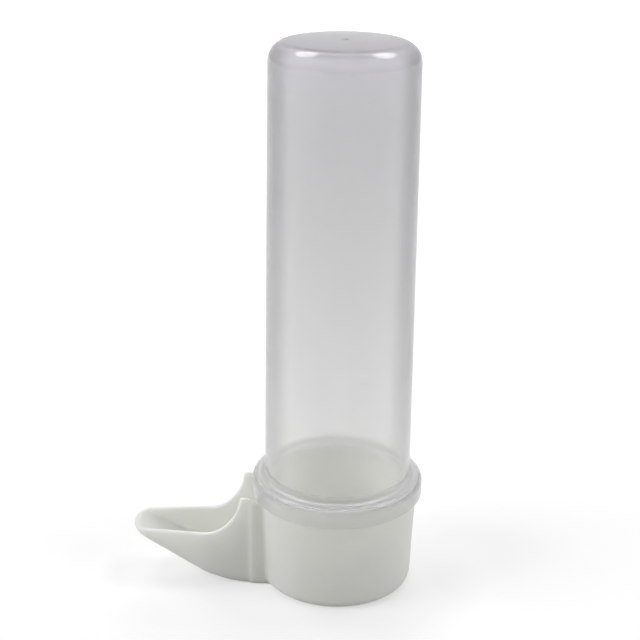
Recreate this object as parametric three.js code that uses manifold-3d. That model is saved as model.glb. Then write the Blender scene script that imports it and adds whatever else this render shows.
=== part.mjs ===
// Bird water drinker: an upturned clear tube stands on a white moulded base.
// The base is a round cup with a neck on one side, which opens into a boat-shaped drinking trough.
// Millimetres, +Z up. The origin is on the tube's axis at the underside of the base,
// and the trough points along -X.

import * as THREE from "three";
import { mergeVertices } from "three/addons/utils/BufferGeometryUtils.js";
import Module from "manifold-3d";

const wasm = await Module();
wasm.setup();

// Clear tube
const TUBE_FOOT_RADIUS = 19.0; // outside, just above the collar
const TUBE_DRAFT = 0.6; // how much the radius shrinks from the collar to the top
const TUBE_WALL = 1.2;
const TUBE_LENGTH = 113.0; // top of the collar to the crown of the dome
const TOP_CORNER_RADIUS = 4.8;
const DOME_RADIUS = 280.0; // sphere of the gently domed closed end
const GATE_RADIUS = 0.9; // stub left by the moulding gate on the crown
const GATE_HEIGHT = 0.2;

// Clear collar: a shoulder that sits on the rim of the cup, and a skirt that hangs round it
const SHOULDER_THICKNESS = 1.0;
const SKIRT_DEPTH = 4.4;
const SKIRT_WALL = 1.15;
const COLLAR_TOP_EDGE = 1.3;
const COLLAR_FILLET = 1.2; // where the tube grows out of the shoulder
const SKIRT_FOOT_EDGE = 0.6;
const SKIRT_LEAD_IN = 0.3;

// White cup
const CUP_HEIGHT = 29.0;
const CUP_WALL = 1.6;
const CUP_DRAFT = 1.1; // how much narrower the foot is than the rim
const CUP_BORE_STEP = 1.6; // how much wider the cup is inside than the tube
const BASE_FLOOR = 1.2; // thickness under the cup and under the trough
const CUP_FOOT_EDGE = 2.2;
const CUP_RIM_EDGE = 0.4;
const CUP_FLOOR_FILLET = 1.5;

// Fits between the tube and the base
const FIT_CLEARANCE = 0.15; // between the skirt and the rim that it is pushed over
const SEAT_CLEARANCE = 0.2; // between the shoulder and the rim under it
const COLLAR_CLEARANCE = 0.3; // between the collar and the neck below and beside it

// White neck and trough
const TROUGH_LENGTH = 31.7; // neck shoulder to the tip of the nose
const TROUGH_WIDTH = 15.9;
const TROUGH_WALL = 1.3;
const TROUGH_RIM_HEIGHT = 14.6;
const TAPER_START = 12.4; // neck shoulder to where the sides begin to draw in
const NOSE_WIDTH = 12.8;
const NOSE_LENGTH = 4.0;
const NOSE_EDGE = 0.5; // height of the lip at the very tip
const NOSE_FOOT_RADIUS = 0.4; // under that lip
const KEEL_ANGLE = THREE.MathUtils.degToRad(29.5);
const KEEL_RADIUS = 28.0;
const SHOULDER_STEP = 0.6; // how far the neck stands out past each side of the trough
const SHOULDER_EDGE = 0.45;
const SHOULDER_FILLET = 0.15;
const LEDGE_HEIGHT = 0.7; // of the flat ends of the trough's walls above the neck
const LEDGE_LENGTH = 2.7;
const RISE_LENGTH = 9.2; // of the curve from the ledge down to the level rim
const RISE_FOOT_HANDLE = 4.2; // how long the curve stays level at its foot
const RISE_HEAD_HANDLE = 6.0; // how long it stays steep at its head
const RISE_LEAN = 0.3; // how far it leans outwards over that length

// Outlet between the cup and the trough: its top edge sets the water level
const OUTLET_WIDTH = 9.0;
const OUTLET_HEIGHT = 7.8;
const OUTLET_CORNER = 2.0;

// Surface quality
const ROUND_SEGMENTS = 72;
const CHORD_ERROR = 0.02; // how far an arc's chords may lie from the true arc
const CURVE_STEPS = 12;
const OVERCUT = 2.0; // how far a cutting solid reaches past what it cuts

// Radii and levels that follow from the sizes above
const tubeTopRadius = TUBE_FOOT_RADIUS - TUBE_DRAFT;
const tubeBore = TUBE_FOOT_RADIUS - TUBE_WALL;
const cupRimRadius = tubeBore + CUP_BORE_STEP + CUP_WALL;
const cupFootRadius = cupRimRadius - CUP_DRAFT;
const skirtBore = cupRimRadius + FIT_CLEARANCE;
const collarRadius = skirtBore + SKIRT_WALL;
const seatLevel = CUP_HEIGHT + SEAT_CLEARANCE;
const collarTop = seatLevel + SHOULDER_THICKNESS;
const collarFoot = seatLevel - SKIRT_DEPTH;
const crownLevel = collarTop + TUBE_LENGTH;
const neckTop = collarFoot - COLLAR_CLEARANCE;
const neckReach = collarRadius + COLLAR_CLEARANCE;
const ledgeLevel = neckTop + LEDGE_HEIGHT;
const tipReach = neckReach + TROUGH_LENGTH;

// Points of an arc about a centre, from a start point through a signed angle.
function arcPoints(centre, start, angle) {
  const stepAngle = 2 * Math.acos(1 - CHORD_ERROR / start.distanceTo(centre));
  const steps = Math.ceil(Math.abs(angle) / stepAngle);
  return Array.from({ length: steps + 1 }, (_, i) =>
    start.clone().rotateAround(centre, (angle * i) / steps),
  );
}

// The line through the given corners, each [x, y] or [x, y, radius], with the corners that have
// a radius rounded by an arc that touches both of their sides. The first and last stay sharp.
function roundedLine(corners) {
  const at = (i) => new THREE.Vector2(corners[i][0], corners[i][1]);
  return corners.flatMap(([, , radius], i) => {
    const corner = at(i);
    if (!radius) return [corner];
    const back = at(i - 1).sub(corner).normalize();
    const ahead = at(i + 1).sub(corner).normalize();
    const halfAngle = Math.acos(back.dot(ahead)) / 2;
    const side = Math.sign(ahead.cross(back));
    const bisector = back.clone().add(ahead).normalize();
    const centre = corner.clone().addScaledVector(bisector, radius / Math.sin(halfAngle));
    const start = corner.clone().addScaledVector(back, radius / Math.tan(halfAngle));
    return arcPoints(centre, start, side * (Math.PI - 2 * halfAngle));
  });
}

// A closed end from the wall to the axis: a corner arc that runs smoothly into a shallow dome.
function domedEnd(wallRadius, cornerRadius, domeRadius, crown) {
  const domeCentre = new THREE.Vector2(0, crown - domeRadius);
  const cornerX = wallRadius - cornerRadius;
  const tilt = Math.asin(cornerX / (domeRadius - cornerRadius));
  const cornerY = domeCentre.y + (domeRadius - cornerRadius) * Math.cos(tilt);
  const cornerCentre = new THREE.Vector2(cornerX, cornerY);
  const corner = arcPoints(
    cornerCentre,
    new THREE.Vector2(wallRadius, cornerY),
    Math.PI / 2 - tilt,
  );
  const dome = arcPoints(domeCentre, corner[corner.length - 1], tilt);
  return [...corner, ...dome.slice(1)];
}

// A solid of revolution about Z from a profile of radius and height that runs
// from the axis round to the axis, with the material on its left.
function revolve(profile) {
  return new THREE.LatheGeometry(profile, ROUND_SEGMENTS).rotateX(Math.PI / 2);
}

// A solid from an outline in the XZ plane, of a given width, centred on Y = 0.
function extrudeAcross(outline, width) {
  return new THREE.ExtrudeGeometry(outline, {
    depth: width,
    bevelEnabled: false,
    curveSegments: CURVE_STEPS,
  })
    .rotateX(Math.PI / 2)
    .translate(0, width / 2, 0);
}

// A solid from an outline in the XY plane, from Z = 0 up.
function extrudeUp(outline, height) {
  return new THREE.ExtrudeGeometry(outline, {
    depth: height,
    bevelEnabled: false,
    curveSegments: CURVE_STEPS,
  });
}

// A geometry as a solid for joining and cutting, and the way back.
function toSolid(geometry) {
  const bare = geometry.clone();
  bare.deleteAttribute("normal");
  bare.deleteAttribute("uv");
  const merged = mergeVertices(bare);
  return new wasm.Manifold(
    new wasm.Mesh({
      numProp: 3,
      vertProperties: merged.attributes.position.array,
      triVerts: new Uint32Array(merged.index.array),
    }),
  );
}

function toGeometry(solid) {
  const mesh = solid.getMesh();
  const geometry = new THREE.BufferGeometry();
  geometry.setAttribute("position", new THREE.BufferAttribute(mesh.vertProperties, 3));
  geometry.setIndex(new THREE.BufferAttribute(mesh.triVerts, 1));
  geometry.computeVertexNormals();
  return geometry;
}

// The tube and its collar are one turned form: the inside from crown to mouth, round the skirt,
// then the outside from the collar up to the stub on the crown.
function reservoirTube() {
  const inside = domedEnd(
    tubeTopRadius - TUBE_WALL,
    TOP_CORNER_RADIUS - TUBE_WALL,
    DOME_RADIUS - TUBE_WALL,
    crownLevel - TUBE_WALL,
  ).reverse();
  const outside = domedEnd(tubeTopRadius, TOP_CORNER_RADIUS, DOME_RADIUS, crownLevel);
  const insideEnd = inside[inside.length - 1];
  const collar = roundedLine([
    [insideEnd.x, insideEnd.y],
    [tubeBore, seatLevel],
    [skirtBore, seatLevel],
    [skirtBore, collarFoot, SKIRT_LEAD_IN],
    [collarRadius, collarFoot, SKIRT_FOOT_EDGE],
    [collarRadius, collarTop, COLLAR_TOP_EDGE],
    [TUBE_FOOT_RADIUS, collarTop, COLLAR_FILLET],
    [outside[0].x, outside[0].y],
  ]);
  const crown = outside.filter((point) => point.x > GATE_RADIUS);
  const stub = roundedLine([
    [GATE_RADIUS, crownLevel],
    [GATE_RADIUS, crownLevel + GATE_HEIGHT],
    [0, crownLevel + GATE_HEIGHT],
  ]);
  return revolve([...inside, ...collar.slice(1, -1), ...crown, ...stub]);
}

// The outside of the cup as a full body of revolution.
function cupBody() {
  return toSolid(
    revolve(
      roundedLine([
        [0, 0],
        [cupFootRadius, 0, CUP_FOOT_EDGE],
        [cupRimRadius, CUP_HEIGHT, CUP_RIM_EDGE],
        [0, CUP_HEIGHT],
      ]),
    ),
  );
}

// The space inside the cup, which reaches past the rim.
function cupHollow() {
  const flare = CUP_DRAFT / CUP_HEIGHT;
  const top = CUP_HEIGHT + OVERCUT;
  return toSolid(
    revolve(
      roundedLine([
        [0, BASE_FLOOR],
        [cupFootRadius - CUP_WALL + flare * BASE_FLOOR, BASE_FLOOR, CUP_FLOOR_FILLET],
        [cupFootRadius - CUP_WALL + flare * top, top],
        [0, top],
      ]),
    ),
  );
}

// Plan of the trough from the tube's axis to the tip, drawn in by an inset:
// parallel sides, a slight taper, and a half-round nose.
function troughPlan(inset, rootCorners) {
  const sideY = TROUGH_WIDTH / 2 - inset;
  const noseX = tipReach - NOSE_LENGTH;
  const noseY = NOSE_WIDTH / 2 - inset;
  const half = roundedLine([...rootCorners(sideY), [neckReach + TAPER_START, sideY], [noseX, noseY]]);
  const plan = new THREE.Shape(half);
  plan.absellipse(noseX, 0, NOSE_LENGTH - inset, noseY, Math.PI / 2, -Math.PI / 2, true);
  half.reverse().forEach((point) => plan.lineTo(point.x, -point.y));
  return plan;
}

// The neck is a little wider than the trough, and ends in a shoulder on each side.
function neckCorners(sideY) {
  const neckY = sideY + SHOULDER_STEP;
  return [
    [0, neckY],
    [neckReach, neckY, SHOULDER_EDGE],
    [neckReach, sideY, SHOULDER_FILLET],
  ];
}

// The underside of the trough, raised by a floor thickness: flat under the cup and neck,
// then a long curve up to the straight run of the nose. The last corner lies at the given height.
function keelCorners(floor, endHeight, endRadius) {
  const slope = Math.tan(KEEL_ANGLE);
  const noseFoot = TROUGH_RIM_HEIGHT - NOSE_EDGE;
  const bendX = tipReach - noseFoot / slope - floor * Math.tan(KEEL_ANGLE / 2);
  return [
    [0, floor],
    [bendX, floor, KEEL_RADIUS - floor],
    [bendX + (endHeight - floor) / slope, endHeight, endRadius],
  ];
}

// Side view of the neck and trough: the keel below, and above it the level rim,
// the curve that climbs towards the collar, the ledge and the neck's top.
function troughSideView() {
  const riseHead = neckReach + LEDGE_LENGTH;
  const riseFoot = riseHead + RISE_LENGTH;
  const side = new THREE.Shape(
    roundedLine([
      ...keelCorners(0, TROUGH_RIM_HEIGHT - NOSE_EDGE, NOSE_FOOT_RADIUS),
      [tipReach, TROUGH_RIM_HEIGHT],
    ]),
  );
  side.lineTo(riseFoot, TROUGH_RIM_HEIGHT);
  side.bezierCurveTo(
    riseFoot - RISE_FOOT_HANDLE,
    TROUGH_RIM_HEIGHT,
    riseHead + RISE_LEAN,
    ledgeLevel - RISE_HEAD_HANDLE,
    riseHead,
    ledgeLevel,
  );
  side.lineTo(neckReach, ledgeLevel);
  side.lineTo(neckReach, neckTop);
  side.lineTo(0, neckTop);
  return side;
}

function troughBody() {
  const plan = extrudeUp(troughPlan(0, neckCorners), ledgeLevel + OVERCUT);
  const sideView = extrudeAcross(troughSideView(), TROUGH_WIDTH + 2 * SHOULDER_STEP + OVERCUT);
  return toSolid(plan).intersect(toSolid(sideView));
}

// The space inside the trough, up to the wall of the cup and open above.
function troughHollow() {
  const top = ledgeLevel + OVERCUT;
  const sideView = new THREE.Shape(roundedLine(keelCorners(BASE_FLOOR, top, 0)));
  sideView.lineTo(0, top);
  const plan = extrudeUp(
    troughPlan(TROUGH_WALL, (sideY) => [[0, sideY]]),
    top + OVERCUT,
  );
  return toSolid(plan).intersect(toSolid(extrudeAcross(sideView, TROUGH_WIDTH)));
}

// The low opening through the wall of the cup into the trough.
function outletCut() {
  const halfWidth = OUTLET_WIDTH / 2;
  const top = BASE_FLOOR + OUTLET_HEIGHT;
  const outline = new THREE.Shape(
    roundedLine([
      [-halfWidth, BASE_FLOOR],
      [halfWidth, BASE_FLOOR],
      [halfWidth, top, OUTLET_CORNER],
      [-halfWidth, top, OUTLET_CORNER],
      [-halfWidth, BASE_FLOOR],
    ]).slice(0, -1),
  );
  const innerReach = cupFootRadius - CUP_WALL - CUP_FLOOR_FILLET - OVERCUT;
  const depth = cupRimRadius + OVERCUT - innerReach;
  return toSolid(
    extrudeAcross(outline, depth)
      .rotateZ(Math.PI / 2)
      .translate(innerReach + depth / 2, 0, 0),
  );
}

function drinkingBase() {
  const cup = cupBody();
  const solid = cup
    .add(troughBody())
    .subtract(cupHollow())
    .subtract(troughHollow().subtract(cup))
    .subtract(outletCut());
  return toGeometry(solid).rotateZ(Math.PI);
}

function piece(name, geometry, material) {
  const mesh = new THREE.Mesh(geometry, new THREE.MeshStandardMaterial(material));
  mesh.name = name;
  return mesh;
}

const drinker = new THREE.Group();
drinker.name = "bird_water_drinker";
drinker.add(
  piece("drinking_base", drinkingBase(), { color: 0xdcded7, roughness: 0.45, metalness: 0 }),
  piece("reservoir_tube", reservoirTube(), {
    color: 0xe6e6ec,
    roughness: 0.08,
    metalness: 0,
    transparent: true,
    opacity: 0.35,
  }),
);

export default drinker;
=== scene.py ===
# %% [markdown]
# # A bird water drinker
# This drinker has two mouldings: a clear upturned tube that stores the water, and a white base with
# a cup and a small drinking trough.

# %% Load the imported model
import math

import bmesh
import bpy
from mathutils import Matrix, Vector
from mathutils.geometry import interpolate_bezier


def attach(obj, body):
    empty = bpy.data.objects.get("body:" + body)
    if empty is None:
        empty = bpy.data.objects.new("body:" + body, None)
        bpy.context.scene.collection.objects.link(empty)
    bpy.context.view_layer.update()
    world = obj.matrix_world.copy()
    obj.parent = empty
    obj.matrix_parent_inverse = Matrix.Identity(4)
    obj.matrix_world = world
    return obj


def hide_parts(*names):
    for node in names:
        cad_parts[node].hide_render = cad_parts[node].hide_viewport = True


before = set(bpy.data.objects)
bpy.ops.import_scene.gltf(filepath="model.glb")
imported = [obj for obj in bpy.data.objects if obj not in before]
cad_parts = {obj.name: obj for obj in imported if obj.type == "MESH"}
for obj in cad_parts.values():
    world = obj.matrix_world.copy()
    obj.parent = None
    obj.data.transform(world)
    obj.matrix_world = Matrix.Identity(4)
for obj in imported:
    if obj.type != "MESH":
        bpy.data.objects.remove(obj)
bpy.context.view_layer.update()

MM = 0.001

# %% [markdown]
# ## Camera
# The camera was worked out from the outlines in the photograph: the slope of the tube's sides gives
# the height and the distance, and the ellipses of the collar give the pitch. It goes in before the
# modelling, so that every trial render can be laid over the photograph.

# %% Camera
CAMERA_PLACE = Vector((2.08, -325.0, 196.28)) * MM
CAMERA_PITCH = 0.3640   # radians down from level
CAMERA_YAW = -0.0220    # radians to the right of +Y
CAMERA_ROLL = -0.0134
FOCAL_PIXELS = 1374.5   # focal length, in pixels of the photograph
PHOTO_PIXELS = 640

ahead = Vector((math.sin(CAMERA_YAW) * math.cos(CAMERA_PITCH),
                math.cos(CAMERA_YAW) * math.cos(CAMERA_PITCH),
                -math.sin(CAMERA_PITCH)))
level_right = Vector((math.cos(CAMERA_YAW), -math.sin(CAMERA_YAW), 0.0))
level_down = ahead.cross(level_right)
right = math.cos(CAMERA_ROLL) * level_right + math.sin(CAMERA_ROLL) * level_down
up = math.sin(CAMERA_ROLL) * level_right - math.cos(CAMERA_ROLL) * level_down

bpy.ops.object.camera_add()
camera = bpy.context.object
camera.name = "photo_camera"
turn = Matrix((right, up, -ahead)).transposed().to_4x4()
camera.matrix_world = Matrix.Translation(CAMERA_PLACE) @ turn
camera.data.lens = camera.data.sensor_width * FOCAL_PIXELS / PHOTO_PIXELS
camera.data.clip_start = 10 * MM
bpy.context.scene.camera = camera
print("lens, mm:", round(camera.data.lens, 2))

# %% [markdown]
# ## Drawing a wall and spinning it
# Both mouldings have round walls. A cylinder could be stretched and bevelled, but these walls lean a
# little, and they have a collar, a seat and edges of many radii. So it is easier to draw half of the
# cut face as a line and to spin it. The line is pulled out of one vertex, corner by corner. A vertex
# bevel then rounds each corner: its offset runs along the line, so it is the radius divided by the
# tangent of half the corner's angle.

# %% Helpers for drawn lines
def clear_selection():
    if bpy.context.mode != "OBJECT":
        bpy.ops.object.mode_set(mode="OBJECT")
    bpy.ops.object.select_all(action="DESELECT")


def start_line(name, first_point):
    """A new object with one vertex, in edit mode."""
    clear_selection()
    bpy.ops.mesh.primitive_plane_add(size=MM)
    line = bpy.context.object
    line.name = name
    bpy.ops.object.mode_set(mode="EDIT")
    bpy.ops.mesh.select_mode(type="VERT")
    bpy.ops.mesh.merge(type="CENTER")
    bpy.ops.transform.translate(value=first_point)
    return line


def select_vertex_at(line, point):
    drawn = bmesh.from_edit_mesh(line.data)
    nearest = min(drawn.verts, key=lambda vertex: (vertex.co - point).length)
    bpy.ops.mesh.select_all(action="DESELECT")
    nearest.select = True
    drawn.select_flush_mode()
    bmesh.update_edit_mesh(line.data)


def round_corner(line, before, corner, after, radius, steps):
    half_angle = (before - corner).angle(after - corner) / 2
    select_vertex_at(line, corner)
    bpy.ops.mesh.bevel(offset=radius / math.tan(half_angle), segments=steps, affect="VERTICES")


def draw_line(name, corners, place, steps=8):
    """A line through corners of (across, up) or (across, up, radius), in mm, put in space by place."""
    points = [place(*corner[:2]) * MM for corner in corners]
    line = start_line(name, points[0])
    for here, there in zip(points, points[1:]):
        bpy.ops.mesh.extrude_vertices_move(TRANSFORM_OT_translate={"value": there - here})
    for i, corner in enumerate(corners):
        if len(corner) == 3:
            round_corner(line, *points[i - 1:i + 2], corner[2] * MM, steps)
    return line


# %% Helpers for spun walls
WELD = 0.01 * MM   # points nearer than this are one point


def cut_face(radius, height):
    """The half plane that a spun wall is drawn in."""
    return Vector((radius, 0.0, height))


def spin_round(line, steps):
    bpy.ops.mesh.select_all(action="SELECT")
    bpy.ops.mesh.spin(steps=steps, angle=2 * math.pi, center=(0, 0, 0), axis=(0, 0, 1))
    bpy.ops.mesh.select_all(action="SELECT")
    bpy.ops.mesh.remove_doubles(threshold=WELD)
    bpy.ops.mesh.normals_make_consistent(inside=False)
    bpy.ops.object.mode_set(mode="OBJECT")
    print(line.name, "spun:", len(line.data.polygons), "faces")


# %% [markdown]
# ## The clear tube
# The tube is one polystyrene moulding: a drafted wall, a closed end with a rounded corner and a very
# shallow dome, and a thick collar whose skirt is pushed over the rim of the cup. The line runs down
# the inside from the crown, round the skirt, up the outside and over the small stub that the
# moulding gate left. Both skins are drawn, because clear plastic bends light at each of them.

# %% Sizes of the tube
TUBE_FOOT_RADIUS, TUBE_TOP_RADIUS = 19.0, 18.4
TUBE_WALL = 1.2
CROWN_LEVEL = 143.2
TOP_CORNER_RADIUS = 4.8
DOME_RADIUS = 280.0
DOME_START = 1.6                           # where the dome starts, in corner radii from the wall
GATE_RADIUS, GATE_HEIGHT = 0.9, 0.2
GATE_SLOPE, GATE_ROUNDING = 0.3, 0.8       # the slope's half width, and the radius of its corners
GATE_MARGIN = 1.2                          # where the dome's line ends, outside the gate
SEAT_LEVEL, COLLAR_TOP, COLLAR_FOOT = 29.2, 30.2, 24.8
SKIRT_BORE, COLLAR_RADIUS = 21.15, 22.3
MOUTH_EDGE, SEAT_CORNER = 0.3, 0.25        # radii, from the mouth of the tube round the skirt
SKIRT_INNER_EDGE, SKIRT_OUTER_EDGE = 0.3, 0.6
COLLAR_EDGE, COLLAR_FILLET = 1.85, 1.4     # radii on top of the collar
ROUND_STEPS = 256


def dome_height(radius, crown, dome_radius):
    return crown - dome_radius + math.sqrt(dome_radius ** 2 - radius ** 2)


def dome_line(wall_radius, corner_radius, crown, dome_radius, inner_radius, rings=10):
    """Corner and dome points of a closed end, from the wall to a radius near the axis."""
    corner = (wall_radius, dome_height(wall_radius, crown, dome_radius), corner_radius)
    start = wall_radius - DOME_START * corner_radius
    radii = [start + (inner_radius - start) * i / rings for i in range(rings + 1)]
    return [corner] + [(r, dome_height(r, crown, dome_radius)) for r in radii]


# %% Spin the tube
inner_end = dome_line(TUBE_TOP_RADIUS - TUBE_WALL, TOP_CORNER_RADIUS - TUBE_WALL,
                      CROWN_LEVEL - TUBE_WALL, DOME_RADIUS - TUBE_WALL, 0.0)
outer_end = dome_line(TUBE_TOP_RADIUS, TOP_CORNER_RADIUS, CROWN_LEVEL, DOME_RADIUS,
                      GATE_RADIUS + GATE_MARGIN)
collar = [
    (TUBE_FOOT_RADIUS - TUBE_WALL, SEAT_LEVEL, MOUTH_EDGE),
    (SKIRT_BORE, SEAT_LEVEL, SEAT_CORNER),
    (SKIRT_BORE, COLLAR_FOOT, SKIRT_INNER_EDGE),
    (COLLAR_RADIUS, COLLAR_FOOT, SKIRT_OUTER_EDGE),
    (COLLAR_RADIUS, COLLAR_TOP, COLLAR_EDGE),
    (TUBE_FOOT_RADIUS, COLLAR_TOP, COLLAR_FILLET),
]
stub = [
    (GATE_RADIUS + GATE_SLOPE, CROWN_LEVEL, GATE_ROUNDING),
    (GATE_RADIUS - GATE_SLOPE, CROWN_LEVEL + GATE_HEIGHT, GATE_ROUNDING),
    (0.0, CROWN_LEVEL + GATE_HEIGHT),
]
tube = draw_line("clear_tube", inner_end[::-1] + collar + outer_end + stub, cut_face)
spin_round(tube, ROUND_STEPS)

# %% [markdown]
# ## The white cup
# The cup is the round half of the base. It is spun too, from the middle of its underside, out and up
# the drafted wall, over the rim and down inside. Its rim reaches up into the collar of the tube.

# %% Spin the cup
CUP_HEIGHT, CUP_WALL, BASE_FLOOR = 29.0, 1.6, 1.2
CUP_FOOT_RADIUS, CUP_RIM_RADIUS = 19.9, 21.0
CUP_FOOT_EDGE, CUP_RIM_EDGE, CUP_INNER_CORNER = 2.2, 0.5, 1.5
cup = draw_line("drinker_base", [
    (0.0, 0.0),
    (CUP_FOOT_RADIUS, 0.0, CUP_FOOT_EDGE),
    (CUP_RIM_RADIUS, CUP_HEIGHT, CUP_RIM_EDGE),
    (CUP_RIM_RADIUS - CUP_WALL, CUP_HEIGHT, CUP_RIM_EDGE),
    (CUP_FOOT_RADIUS - CUP_WALL, BASE_FLOOR, CUP_INNER_CORNER),
    (0.0, BASE_FLOOR),
], cut_face)
spin_round(cup, ROUND_STEPS)

# %% [markdown]
# ## Neck and trough
# The trough is boat-shaped: seen from above it has parallel sides, a slight taper and a round nose,
# and seen from the side it has a keel that curves up to the nose and walls that climb towards the
# collar. A box could be pulled into this shape row by row. Two drawings say it more plainly: the
# plan is pulled up into a block, the side view is pulled across into another, and what both blocks
# share is the boat.

# %% Helpers for blocks
def in_plan(reach, side):
    """A drawing seen from above: reach goes out along -X, towards the nose."""
    return Vector((-reach, side, 0.0))


def in_side_view(reach, height, side):
    """A drawing seen from the side, at a given place across."""
    return Vector((-reach, side, height))


def fill_and_pull(outline, pull):
    """Closes a drawn outline, fills it and pulls the face out into a block."""
    bpy.ops.mesh.select_all(action="SELECT")
    bpy.ops.mesh.remove_doubles(threshold=WELD)
    bpy.ops.mesh.edge_face_add()
    bpy.ops.mesh.extrude_region_move(TRANSFORM_OT_translate={"value": pull * MM})
    bpy.ops.mesh.select_all(action="SELECT")
    bpy.ops.mesh.normals_make_consistent(inside=False)
    bpy.ops.object.mode_set(mode="OBJECT")
    print(outline.name, "block:", len(outline.data.polygons), "faces")


# %% Helpers for joining and cutting
def make_active(piece):
    clear_selection()
    piece.select_set(True)
    bpy.context.view_layer.objects.active = piece


def apply_last_modifier(piece):
    bpy.ops.object.modifier_apply(modifier=piece.modifiers[-1].name)


def combine(piece, other, operation):
    """Joins, cuts or intersects piece with other, which is used up."""
    make_active(piece)
    bpy.ops.object.modifier_add(type="BOOLEAN")
    change = piece.modifiers[-1]
    change.operation, change.solver, change.object = operation, "EXACT", other
    apply_last_modifier(piece)
    bpy.data.objects.remove(other)
    print(piece.name, operation.lower() + ":", len(piece.data.polygons), "faces")


# %% Sizes of the neck and trough
NECK_REACH, NECK_TOP = 22.6, 24.5
TIP_REACH = 54.3
TROUGH_HALF_WIDTH, TROUGH_WALL, RIM_HEIGHT = 7.95, 1.3, 14.6
SHOULDER_STEP, SHOULDER_EDGE, SHOULDER_CORNER = 0.6, 0.45, 0.15
TAPER_REACH, TAPER_BEND = 35.0, 12.0
NOSE_HALF_WIDTH, NOSE_LENGTH = 6.4, 4.0
NOSE_EDGE, NOSE_FOOT_RADIUS = 0.5, 0.4
NOSE_STEPS = 20
KEEL_SLOPE, KEEL_RADIUS = math.tan(math.radians(29.5)), 28.0
LEDGE_REACH, LEDGE_LEVEL = 25.3, 25.2
RISE_REACH = 34.5          # where the climbing curve meets the level rim
RISE_PULL = 4.2            # how far the curve follows the rim before it climbs
LEDGE_PULL, LEDGE_LEAN = 6.0, 0.3   # how far down, and how far out, it comes from the ledge
RISE_STEPS, KEEL_STEPS = 24, 24
ABOVE = 30.0               # any level above the whole base
BLOCK_HALF = 12.0          # half the width of a block that reaches past both sides
print("trough, mm:", 2 * TROUGH_HALF_WIDTH, "wide, and its tip is", TIP_REACH, "from the axis")


# %% The plan of the boat
def trough_plan(inset, root):
    """Half of the plan from its root corners to the nose, then the other half mirrored."""
    side, nose_side = TROUGH_HALF_WIDTH - inset, NOSE_HALF_WIDTH - inset
    nose_reach = TIP_REACH - NOSE_LENGTH
    half = root + [(TAPER_REACH, side, TAPER_BEND)]
    for i in range(NOSE_STEPS):
        turn = math.pi / 2 * i / NOSE_STEPS
        half.append((nose_reach + (NOSE_LENGTH - inset) * math.sin(turn), nose_side * math.cos(turn)))
    mirrored = [(corner[0], -corner[1], *corner[2:]) for corner in reversed(half)]
    return half + [(TIP_REACH - inset, 0.0)] + mirrored + [half[0]]


def plan_block(name, inset, root):
    """The plan, drawn in by an inset, as a block that goes up past the whole base."""
    block = draw_line(name, trough_plan(inset, root), in_plan)
    fill_and_pull(block, Vector((0, 0, ABOVE)))
    return block


# %% The side view of the boat
def keel(floor, end_height, *end_radius):
    """The underside, raised by a floor: flat, a long bend, then straight up to the nose."""
    lift = floor * math.tan(math.atan(KEEL_SLOPE) / 2)
    bend = TIP_REACH - (RIM_HEIGHT - NOSE_EDGE) / KEEL_SLOPE - lift
    end = bend + (end_height - floor) / KEEL_SLOPE
    return [(0.0, floor), (bend, floor, KEEL_RADIUS - floor), (end, end_height, *end_radius)]


def side_block(name, corners):
    """A side view as a block that goes past both sides of the boat."""
    block = draw_line(name, corners, lambda reach, height: in_side_view(reach, height, -BLOCK_HALF),
                      KEEL_STEPS)
    fill_and_pull(block, Vector((0, 2 * BLOCK_HALF, 0)))
    return block


# %% The boat's outside
side = TROUGH_HALF_WIDTH
neck_root = [
    (0.0, side + SHOULDER_STEP),
    (NECK_REACH, side + SHOULDER_STEP, SHOULDER_EDGE),
    (NECK_REACH, side, SHOULDER_CORNER),
]
trough = plan_block("trough_block", 0.0, neck_root)

climb = interpolate_bezier(Vector((RISE_REACH, RIM_HEIGHT)),
                           Vector((RISE_REACH - RISE_PULL, RIM_HEIGHT)),
                           Vector((LEDGE_REACH + LEDGE_LEAN, LEDGE_LEVEL - LEDGE_PULL)),
                           Vector((LEDGE_REACH, LEDGE_LEVEL)), RISE_STEPS + 1)
side_corners = keel(0.0, RIM_HEIGHT - NOSE_EDGE, NOSE_FOOT_RADIUS) + [(TIP_REACH, RIM_HEIGHT)]
side_corners += [tuple(point) for point in climb]
side_corners += [(NECK_REACH, LEDGE_LEVEL), (NECK_REACH, NECK_TOP), (0.0, NECK_TOP), (0.0, 0.0)]
combine(trough, side_block("side_view", side_corners), "INTERSECT")

# %% [markdown]
# ## Hollow, joint and outlet
# The hollow of the boat is made from the same two drawings, drawn in by the wall and raised by the
# floor. The root of the boat is then trimmed on a plug inside the wall of the cup, so that the two
# fuse without a step. Last comes the low outlet through the wall of the cup: water stands in the
# trough up to its top edge.

# %% Hollow out the boat
hollow = plan_block("trough_hollow", TROUGH_WALL, [(0.0, side - TROUGH_WALL)])
hollow_corners = keel(BASE_FLOOR, ABOVE) + [(0.0, ABOVE), (0.0, BASE_FLOOR)]
combine(hollow, side_block("hollow_side", hollow_corners), "INTERSECT")
combine(trough, hollow, "DIFFERENCE")

# %% Trim the root and join it to the cup
PLUG_RADIUS = CUP_FOOT_RADIUS - CUP_WALL / 2
BELOW = -1.0               # any level below the whole base
plug = draw_line("root_plug", [
    (0.0, BELOW),
    (PLUG_RADIUS, BELOW),
    (PLUG_RADIUS, ABOVE),
    (0.0, ABOVE),
], cut_face)
spin_round(plug, ROUND_STEPS)
combine(trough, plug, "DIFFERENCE")
combine(cup, trough, "UNION")

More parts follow.
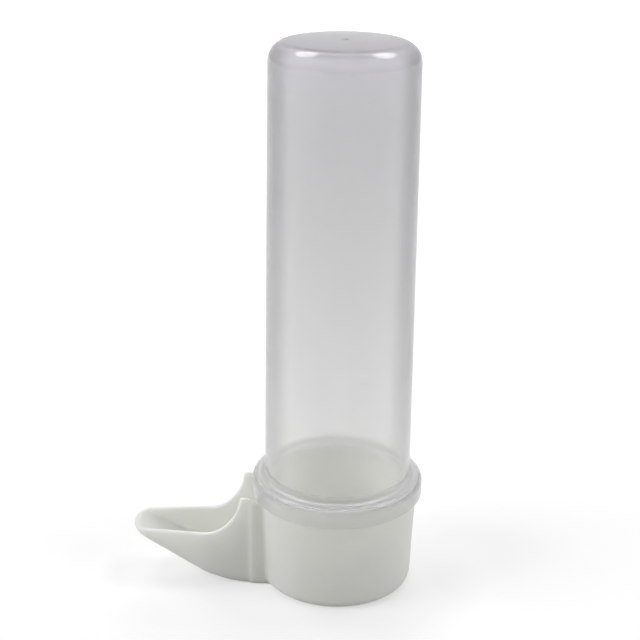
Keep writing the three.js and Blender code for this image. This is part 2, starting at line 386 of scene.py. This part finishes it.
# %% Cut the outlet
OUTLET_HALF_WIDTH, OUTLET_TOP, OUTLET_CORNER = 4.5, 9.0, 2.0
OUTLET_FROM, OUTLET_TO = 13.0, 22.4
outlet = draw_line("outlet", [
    (-OUTLET_HALF_WIDTH, BASE_FLOOR),
    (OUTLET_HALF_WIDTH, BASE_FLOOR),
    (OUTLET_HALF_WIDTH, OUTLET_TOP, OUTLET_CORNER),
    (-OUTLET_HALF_WIDTH, OUTLET_TOP, OUTLET_CORNER),
    (-OUTLET_HALF_WIDTH, BASE_FLOOR),
], lambda y, z: in_side_view(OUTLET_FROM, z, y))
fill_and_pull(outlet, Vector((OUTLET_FROM - OUTLET_TO, 0, 0)))
combine(cup, outlet, "DIFFERENCE")

# %% [markdown]
# ## Soft moulded edges
# A moulding has no sharp edges and no sharp inner corners. Bevels would have to follow every cut edge
# of the joined shape. Instead the shape is rebuilt twice from small voxels: a fine grid first, smoothed so
# that each edge and each inner corner gets a small radius, and then a coarser one that sees only
# soft shapes and gives an even skin. The spun tube is smooth already: weighted normals keep its wide
# faces clean beside the narrow ones of its rounded edges.

# %% Soften the base
FINE_VOXEL, SKIN_VOXEL = 0.24 * MM, 0.39 * MM
EDGE_PASSES, SKIN_PASSES = 14, 4
SMOOTHING = 0.5            # how far a pass moves a point towards its neighbours' middle


def rebuild(piece, voxel, passes):
    bpy.ops.object.modifier_add(type="REMESH")
    piece.modifiers[-1].mode, piece.modifiers[-1].voxel_size = "VOXEL", voxel
    apply_last_modifier(piece)
    bpy.ops.object.modifier_add(type="SMOOTH")
    piece.modifiers[-1].factor, piece.modifiers[-1].iterations = SMOOTHING, passes
    apply_last_modifier(piece)
    print(piece.name, "rebuilt:", len(piece.data.polygons), "faces")


base = cup
make_active(base)
rebuild(base, FINE_VOXEL, EDGE_PASSES)
rebuild(base, SKIN_VOXEL, SKIN_PASSES)
bpy.ops.object.shade_smooth()
print("base:", len(base.data.vertices), "points")

# %% Smooth shading of the tube
WIDE_FACE_WEIGHT = 100
make_active(tube)
bpy.ops.object.shade_smooth()
bpy.ops.object.modifier_add(type="WEIGHTED_NORMAL")
tube.modifiers[-1].weight = WIDE_FACE_WEIGHT
apply_last_modifier(tube)
print("tube:", len(tube.data.vertices), "points")

# %% [markdown]
# ## Clear plastic
# The tube is clear polystyrene with a faint cool cast. Its grey deepens towards the closed end, and
# that deepening is painted shade. Glass nodes alone would look like thick blown glass. So the tint
# changes with the height, a slight haze softens the thick collar and the closed end, faint flow
# streaks run along the wall, and a shallow bump bends the reflections as moulded walls do. A wall
# seen edge-on shows more plastic, and so more colour; the edges also carry painted shade, darkest
# high on the tube. A thin coat keeps the highlights crisp over the haze. Light from the lamps passes
# straight through, a little dimmed by the thick collar, because bent light would reach the cup only as
# noise.

# %% Helpers for finishes
def new_finish(name):
    """A new material, with its node tree and its main shader."""
    finish = bpy.data.materials.new(name)
    finish.use_nodes = True
    return finish, finish.node_tree, finish.node_tree.nodes["Principled BSDF"]


def add_node(tree, kind, settings=None, **inputs):
    """A node with its settings, and its inputs: a value, or the socket to link. An input goes by its
    name, or by its number as s0, s1 and so on."""
    node = tree.nodes.new(kind)
    for name, value in (settings or {}).items():
        setattr(node, name, value)
    for name, value in inputs.items():
        socket = node.inputs[int(name[1:])] if name[1:].isdigit() else node.inputs[name.replace("_", " ")]
        if isinstance(value, bpy.types.NodeSocket):
            tree.links.new(value, socket)
        else:
            socket.default_value = value
    return node


# %% Helpers for patterns
def stretched_noise(tree, scale, stretch=(1, 1, 1), detail=2.0):
    """Noise on Object coordinates; scale is in repeats per metre, and stretch squeezes an axis."""
    place = add_node(tree, "ShaderNodeTexCoord").outputs["Object"]
    squeezed = add_node(tree, "ShaderNodeMapping", Vector=place, Scale=stretch).outputs["Vector"]
    noise = add_node(tree, "ShaderNodeTexNoise", Vector=squeezed, Scale=scale, Detail=detail)
    return noise.outputs["Fac"]


def ranged(tree, value, low, high, start=0.0, end=1.0):
    """Stretches a value that runs from start to end so that it runs from low to high."""
    node = add_node(tree, "ShaderNodeMapRange", Value=value, From_Min=start, From_Max=end,
                    To_Min=low, To_Max=high)
    return node.outputs["Result"]


def by_height(tree, stops):
    """A colour that changes with the height on the piece; stops are (mm, colour), from low to high."""
    place = add_node(tree, "ShaderNodeTexCoord").outputs["Object"]
    height = add_node(tree, "ShaderNodeSeparateXYZ", Vector=place).outputs["Z"]
    low, high = stops[0][0], stops[-1][0]
    ramp = add_node(tree, "ShaderNodeValToRGB", s0=ranged(tree, height, 0, 1, low * MM, high * MM))
    ramp.color_ramp.elements[0].color, ramp.color_ramp.elements[1].color = stops[0][1], stops[-1][1]
    for level, colour in stops[1:-1]:
        ramp.color_ramp.elements.new((level - low) / (high - low)).color = colour
    return ramp.outputs["Color"]


def mixed(tree, factor, first, second, blend="MIX"):
    """A colour mix; the node's colour sockets are numbers 6 and 7, and its colour result number 2."""
    node = add_node(tree, "ShaderNodeMix", {"data_type": "RGBA", "blend_type": blend},
                    s0=factor, s6=first, s7=second)
    return node.outputs[2]


# %% Tint of the clear plastic
# painted shade: above the collar the tint darkens with the height towards the closed end, which also has a
# lavender cast
CLEAR_LOW, PAINTED_SHADE_HIGH = (0.958, 0.958, 0.953, 1), (0.718, 0.716, 0.724, 1)
END_CAST_AND_PAINTED_SHADE = (0.716, 0.706, 0.742, 1)
COLLAR_EDGE_ON = (0.80, 0.795, 0.815, 1)
# edge-on colours: partly the longer path through a wall seen edge-on, partly painted shade, darkest high
# on the tube
EDGE_ON_LOW, EDGE_ON_PAINTED_SHADE_HIGH = (0.52, 0.515, 0.53, 1), (0.05, 0.046, 0.065, 1)
END_EDGE_ON = (0.34, 0.325, 0.365, 1)
COLLAR_CAST = (0.86, 0.86, 0.87, 1)        # the solid ring of the collar is thicker than the wall
RING_TOP = COLLAR_TOP - 0.4                # where the tint of that ring starts to fade
FILLET_TOP = COLLAR_TOP + COLLAR_FILLET
WHITE = (1, 1, 1, 1)
STREAK_DARK = (0.982, 0.982, 0.986, 1)
STREAKS_PER_METRE, STREAK_STRETCH = 260.0, (1, 1, 0.06)
NOISE_MIDDLE = (0.35, 0.65)                # noise outside this span is clipped, for contrast
EDGE_TINT_SPAN = (0.33, 0.82)              # facing values where the edge-on tint starts and is full

clear_plastic, tree, shader = new_finish("clear_plastic")
# the tint by height is the thicker collar ring, then painted shade that darkens towards the closed end
tint_and_painted_shade = by_height(tree, [
    (SEAT_LEVEL - 2, CLEAR_LOW), (SEAT_LEVEL, COLLAR_CAST), (RING_TOP, COLLAR_CAST),
    (COLLAR_TOP, CLEAR_LOW), (CROWN_LEVEL - 16, PAINTED_SHADE_HIGH), (CROWN_LEVEL - 2, END_CAST_AND_PAINTED_SHADE),
])
streaks = stretched_noise(tree, STREAKS_PER_METRE, STREAK_STRETCH, 3.0)
streak_tint = mixed(tree, ranged(tree, streaks, 0, 1, *NOISE_MIDDLE), STREAK_DARK, WHITE)
streaked = mixed(tree, 1.0, tint_and_painted_shade, streak_tint, "MULTIPLY")
facing = add_node(tree, "ShaderNodeLayerWeight", Blend=0.5).outputs["Facing"]
# the edge-on tint by height, with painted shade that is darkest high on the tube
edge_on_tint_and_shade = by_height(tree, [
    (FILLET_TOP, COLLAR_EDGE_ON), (COLLAR_TOP + 3, EDGE_ON_LOW),
    (CROWN_LEVEL - 5, EDGE_ON_PAINTED_SHADE_HIGH), (CROWN_LEVEL - 1, END_EDGE_ON),
])
edge_tint = mixed(tree, ranged(tree, facing, 0, 1, *EDGE_TINT_SPAN), WHITE, edge_on_tint_and_shade)
tree.links.new(mixed(tree, 1.0, streaked, edge_tint, "MULTIPLY"), shader.inputs["Base Color"])
shader.inputs["Transmission Weight"].default_value = 0.86
shader.inputs["IOR"].default_value = 1.59
shader.inputs["Coat Weight"].default_value = 0.15
shader.inputs["Coat Roughness"].default_value = 0.12
print("tint of the clear plastic:", len(tree.nodes), "nodes")

# %% Gloss, haze and waves of the clear plastic
GLOSS_PATCHES_PER_METRE = 90.0
CLEAR_ROUGHNESS = (0.10, 0.16)
NOISE_MOST = (0.3, 0.7)                    # a wider span of the noise, for softer patches
COLLAR_HAZE, FILLET_HAZE, END_HAZE = 0.08, 0.26, 0.06   # roughness that is added there
WAVE_HEIGHT, WAVE_STRENGTH = 0.1 * MM, 0.06


def grey(level):
    return (level, level, level, 1)


def calculated(tree, operation, first, second):
    return add_node(tree, "ShaderNodeMath", {"operation": operation}, s0=first, s1=second).outputs[0]


gloss = ranged(tree, stretched_noise(tree, GLOSS_PATCHES_PER_METRE), *CLEAR_ROUGHNESS, *NOISE_MOST)
haze = by_height(tree, [
    (COLLAR_FOOT, grey(COLLAR_HAZE)), (RING_TOP, grey(COLLAR_HAZE)),
    (COLLAR_TOP, grey(FILLET_HAZE)), (FILLET_TOP, grey(FILLET_HAZE)),
    (FILLET_TOP + 1, grey(0.0)), (CROWN_LEVEL - 9, grey(0.0)), (CROWN_LEVEL - 4, grey(END_HAZE)),
])
tree.links.new(calculated(tree, "ADD", gloss, haze), shader.inputs["Roughness"])
wave_depth = by_height(tree, [(FILLET_TOP, grey(0.0)), (COLLAR_TOP + 8, grey(WAVE_STRENGTH))])
waves = add_node(tree, "ShaderNodeBump", Strength=wave_depth, Distance=WAVE_HEIGHT, Height=streaks)
tree.links.new(waves.outputs["Normal"], shader.inputs["Normal"])
print("with gloss, haze and waves:", len(tree.nodes), "nodes")

# %% Light through the clear plastic
# shares of the lamps' light that pass, from the foot of the collar up to the wall
FOOT_PASS, SKIRT_PASS, RING_PASS, WALL_PASS = 0.75, 0.88, 0.90, 0.99


def any_ray(tree, *kinds):
    """1 for rays of the named kinds, as the Light Path node calls them, and 0 for all others."""
    path = add_node(tree, "ShaderNodeLightPath").outputs
    found = path[kinds[0]]
    for kind in kinds[1:]:
        found = calculated(tree, "MAXIMUM", found, path[kind])
    return found


dimming = by_height(tree, [
    (COLLAR_FOOT + 0.6, grey(FOOT_PASS)), (COLLAR_FOOT + 1.6, grey(SKIRT_PASS)),
    (COLLAR_TOP, grey(RING_PASS)), (COLLAR_TOP + 2, grey(WALL_PASS)),
])
let_through = add_node(tree, "ShaderNodeBsdfTransparent", Color=dimming).outputs["BSDF"]
lamp_light = any_ray(tree, "Is Shadow Ray", "Is Diffuse Ray")
either = add_node(tree, "ShaderNodeMixShader", s0=lamp_light, s1=shader.outputs["BSDF"], s2=let_through)
tree.links.new(either.outputs["Shader"], tree.nodes["Material Output"].inputs["Surface"])
tube.data.materials.clear()
tube.data.materials.append(clear_plastic)
print("clear plastic on the tube:", len(tree.nodes), "nodes")

# %% [markdown]
# ## White plastic
# The base is satin white plastic, slightly warm and greenish. It isn't one flat white: the colour
# drifts a little over the moulding, the gloss varies with the texture of the mould, and a fine grain
# breaks up the reflections. A little light goes into the plastic and comes out again nearby.

# %% White plastic
WHITE_DEEP, WHITE_PALE = (0.735, 0.742, 0.705, 1), (0.775, 0.781, 0.748, 1)
DRIFTS_PER_METRE, SHEENS_PER_METRE, GRAINS_PER_METRE = 55.0, 240.0, 2200.0
SATIN_ROUGHNESS = (0.36, 0.50)
GRAIN_HEIGHT, GRAIN_STRENGTH = 0.05 * MM, 0.06
SCATTER_DEPTH = 4.0 * MM

white_plastic, tree, shader = new_finish("white_plastic")
drift = ranged(tree, stretched_noise(tree, DRIFTS_PER_METRE, detail=3.0), 0, 1, *NOISE_MIDDLE)
tree.links.new(mixed(tree, drift, WHITE_DEEP, WHITE_PALE), shader.inputs["Base Color"])
satin = ranged(tree, stretched_noise(tree, SHEENS_PER_METRE), *SATIN_ROUGHNESS, *NOISE_MOST)
tree.links.new(satin, shader.inputs["Roughness"])
grain = add_node(tree, "ShaderNodeBump", Strength=GRAIN_STRENGTH, Distance=GRAIN_HEIGHT,
                 Height=stretched_noise(tree, GRAINS_PER_METRE, detail=3.0))
tree.links.new(grain.outputs["Normal"], shader.inputs["Normal"])
shader.inputs["IOR"].default_value = 1.5
shader.inputs["Subsurface Weight"].default_value = 1.0
shader.inputs["Subsurface Radius"].default_value = (1.0, 1.0, 0.9)
shader.inputs["Subsurface Scale"].default_value = SCATTER_DEPTH
base.data.materials.clear()
base.data.materials.append(white_plastic)
print("white plastic on the base:", len(tree.nodes), "nodes")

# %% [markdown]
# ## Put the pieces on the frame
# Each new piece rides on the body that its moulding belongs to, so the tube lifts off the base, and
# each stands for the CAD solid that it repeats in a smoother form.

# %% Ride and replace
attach(tube, "tube")
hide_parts("reservoir_tube")
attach(base, "base")
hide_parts("drinking_base")
print(tube.name, "and", base.name, "are on the frame")

# %% [markdown]
# ## Floor, background and lamps
# The photograph has a white background and a faint soft shadow. The floor is a plain pale sheet: it
# takes the shadow as any white surface does, and some added light for the rays that reach the
# eye, straight or through the tube, lifts it to white. Two long softboxes hang above, left and right
# and a little behind, where their highlights on the tube's top corner say they were. Wide panels
# stand for the pale walls of the room and give no highlights. Their levels were chosen so that the
# shades of the cup, the trough and their insides come near those in the photograph.

# %% Floor
FLOOR_WIDTH = 6.0
FLOOR_LEVEL = -0.02 * MM   # a hair under the base, so that the two don't share a plane
FLOOR_COLOUR = (0.58, 0.58, 0.58, 1)
LIFT_NEAR, LIFT_FAR = 0.46, 0.95
NEAR, FAR = 0.15, 1.00     # metres from the object, where the lift starts and stops growing
# rays that show the background to the eye, straight, mirrored or through the tube
SEEN_RAYS = ("Is Camera Ray", "Is Glossy Ray", "Is Transmission Ray")

clear_selection()
bpy.ops.mesh.primitive_plane_add(size=FLOOR_WIDTH, location=(0, 0, FLOOR_LEVEL))
floor = bpy.context.object
floor.name = "floor"
paper, tree, shader = new_finish("floor_paper")
shader.inputs["Base Color"].default_value = FLOOR_COLOUR
shader.inputs["Roughness"].default_value = 0.9
shader.inputs["Specular IOR Level"].default_value = 0.0
shader.inputs["Emission Color"].default_value = WHITE
distance = add_node(tree, "ShaderNodeVectorMath", {"operation": "LENGTH"},
                    s0=add_node(tree, "ShaderNodeTexCoord").outputs["Object"]).outputs["Value"]
lift = ranged(tree, distance, LIFT_NEAR, LIFT_FAR, NEAR, FAR)
seen_lift = calculated(tree, "MULTIPLY", any_ray(tree, *SEEN_RAYS), lift)
tree.links.new(seen_lift, shader.inputs["Emission Strength"])
floor.data.materials.append(paper)
print("floor:", FLOOR_WIDTH, "m wide")

# %% White room
SKY_STRENGTH = 0.15        # of the light that falls on the object; the eye sees 1, which is white
world = bpy.data.worlds.new("white_room")
bpy.context.scene.world = world
world.use_nodes = True
sky = world.node_tree.nodes["Background"]
sky.inputs["Color"].default_value = WHITE
strength = ranged(world.node_tree, any_ray(world.node_tree, *SEEN_RAYS), SKY_STRENGTH, 1.0)
world.node_tree.links.new(strength, sky.inputs["Strength"])
print(world.name, "lights the object at", SKY_STRENGTH)

# %% Softboxes and panels
LAMPS = {  # place, width and length in metres, watts, and whether it shows as a highlight
    "softbox_left": (Vector((-0.215, 0.14, 0.512)), 0.16, 0.26, 0.50, True),
    "softbox_right": (Vector((0.215, 0.14, 0.512)), 0.16, 0.26, 0.50, True),
    "panel_back": (Vector((0.0, 1.80, 0.50)), 1.6, 1.6, 27.0, False),
    "panel_left": (Vector((-1.95, -0.62, 1.08)), 1.6, 1.6, 28.5, False),
    "panel_right": (Vector((2.06, -0.60, 0.78)), 1.6, 1.6, 17.0, False),
    "panel_front": (Vector((0.0, -2.0, 1.3)), 1.2, 1.2, 3.6, False),
}
AIM = Vector((0, 0, 90 * MM))

for name, (place, width, length, watts, shows) in LAMPS.items():
    bpy.ops.object.light_add(type="AREA", location=place)
    lamp = bpy.context.object
    lamp.name = name
    lamp.rotation_euler = (AIM - place).to_track_quat("-Z", "X").to_euler()
    lamp.data.shape, lamp.data.size, lamp.data.size_y = "ELLIPSE", width, length
    lamp.data.energy = watts
    lamp.visible_camera = lamp.visible_transmission = False
    lamp.visible_glossy = shows
    print(name, "at", [round(value, 3) for value in lamp.location])

# %% [markdown]
# ## Finish
# Colours go out as they are.

# %% Colours go out as they are
bpy.context.scene.view_settings.view_transform = "Standard"
